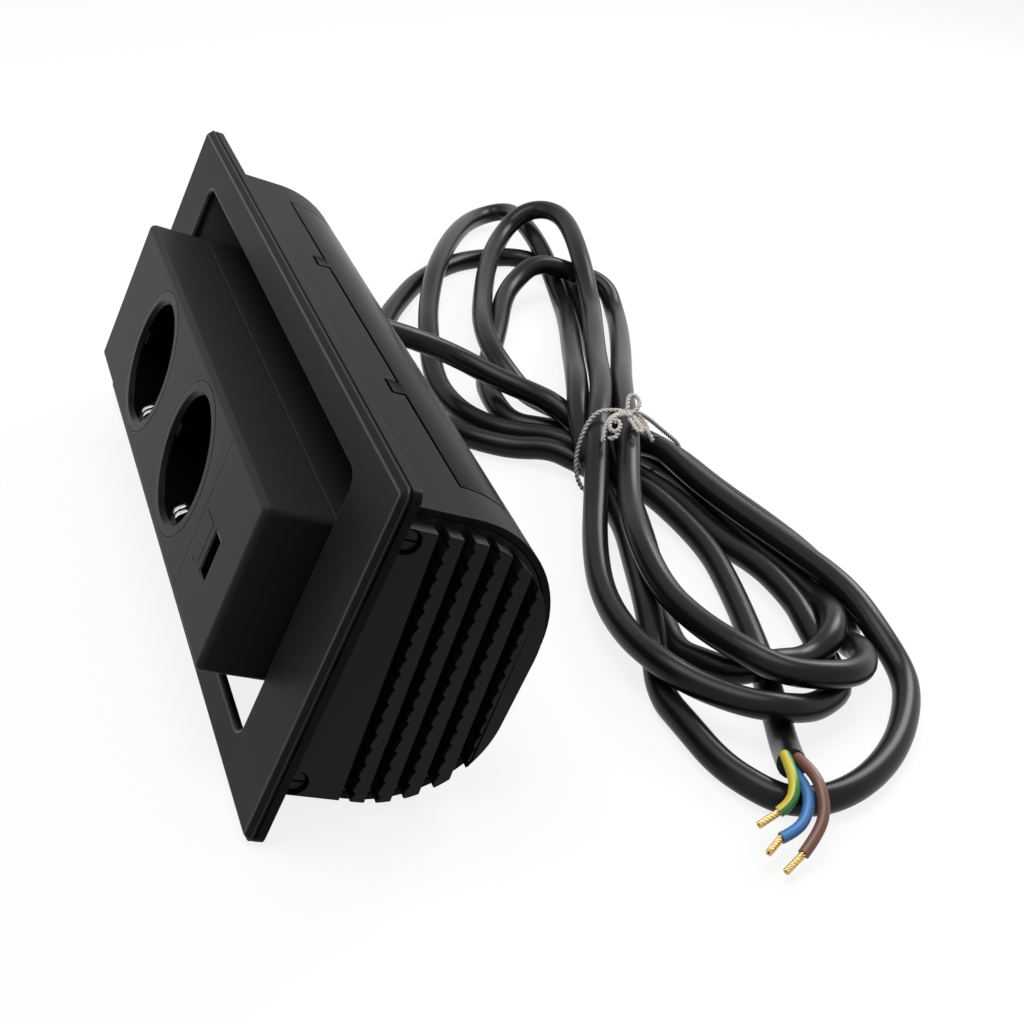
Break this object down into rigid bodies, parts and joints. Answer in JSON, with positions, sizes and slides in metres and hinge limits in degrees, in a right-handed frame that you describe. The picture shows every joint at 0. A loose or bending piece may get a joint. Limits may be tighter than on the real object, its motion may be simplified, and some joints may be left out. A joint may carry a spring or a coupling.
{
  "type": "in-desk power module",
  "caption": "Flip-over power block with round earthed sockets and a USB outlet in a flanged drum housing for a worktop cut-out, with its mains lead tied in a hank.",
  "frame": {"origin": "middle of the flange's underside, which rests on the worktop", "axes": "+X along the flange to the end with the USB outlet, +Y across the flange, +Z out of the worktop"},
  "size_m": [0.4781, 0.1134, 0.2536],
  "materials": {
    "frame_plastic": "fine matt",
    "housing_plastic": "satin to gloss, moulded",
    "cover_plastic": "gloss, moulded",
    "cap_plastic": "satin, moulded",
    "panel_plastic": "fine matt",
    "rotor_plastic": "satin",
    "lid_plastic": "fine matt",
    "insert_plastic": "satin",
    "tongue_plastic": "satin",
    "board": "laminate",
    "bush_plastic": "low-friction plastic",
    "terminal_plastic": "satin",
    "steel": "bright plated",
    "brass": "bright",
    "relief_rubber": "soft matt",
    "cord_rubber": "smooth sheath",
    "tie_fabric": "twisted string",
    "core_brown": "smooth",
    "core_blue": "smooth",
    "core_green_yellow": "smooth, striped"
  },
  "bodies": {
    "housing": {"front_frame": "frame_plastic", "housing": "housing_plastic", "bottom_cover": "cover_plastic", "end_cap_near": "cap_plastic", "end_cap_far": "cap_plastic", "end_cap_screws": "steel", "bush_near": "bush_plastic", "bush_far": "bush_plastic", "friction_washer_near": "steel", "friction_washer_far": "steel", "strain_relief": "relief_rubber", "cable_clamp": "cap_plastic", "clamp_screws": "steel", "terminal_block": "terminal_plastic", "terminal_screws": "brass", "cord_lead": "cord_rubber", "cord_hank": "cord_rubber", "cord_tail": "cord_rubber", "cord_tie": "tie_fabric", "core_brown": "core_brown", "core_blue": "core_blue", "core_green_yellow": "core_green_yellow", "core_tips": "brass"},
    "rotor": {"socket_panel": "panel_plastic", "usb_panel": "panel_plastic", "rotor_shell": "rotor_plastic", "rotor_lid": "lid_plastic", "rotor_screws": "steel", "socket_insert_1": "insert_plastic", "socket_insert_2": "insert_plastic", "earth_bracket_1": "steel", "earth_bracket_2": "steel", "contact_bar_line": "brass", "contact_bar_neutral": "brass", "usb_shell": "steel", "usb_tongue": "tongue_plastic", "usb_board": "board", "pivot_sleeve_near": "steel", "pivot_sleeve_far": "steel"}
  },
  "joints": [
    {"name": "rotor_flip", "type": "hinge", "parent": "housing", "child": "rotor", "pos_m": [0, 0, -0.008], "axis": [1, 0, 0], "range_deg": [0, 180]}
  ]
}
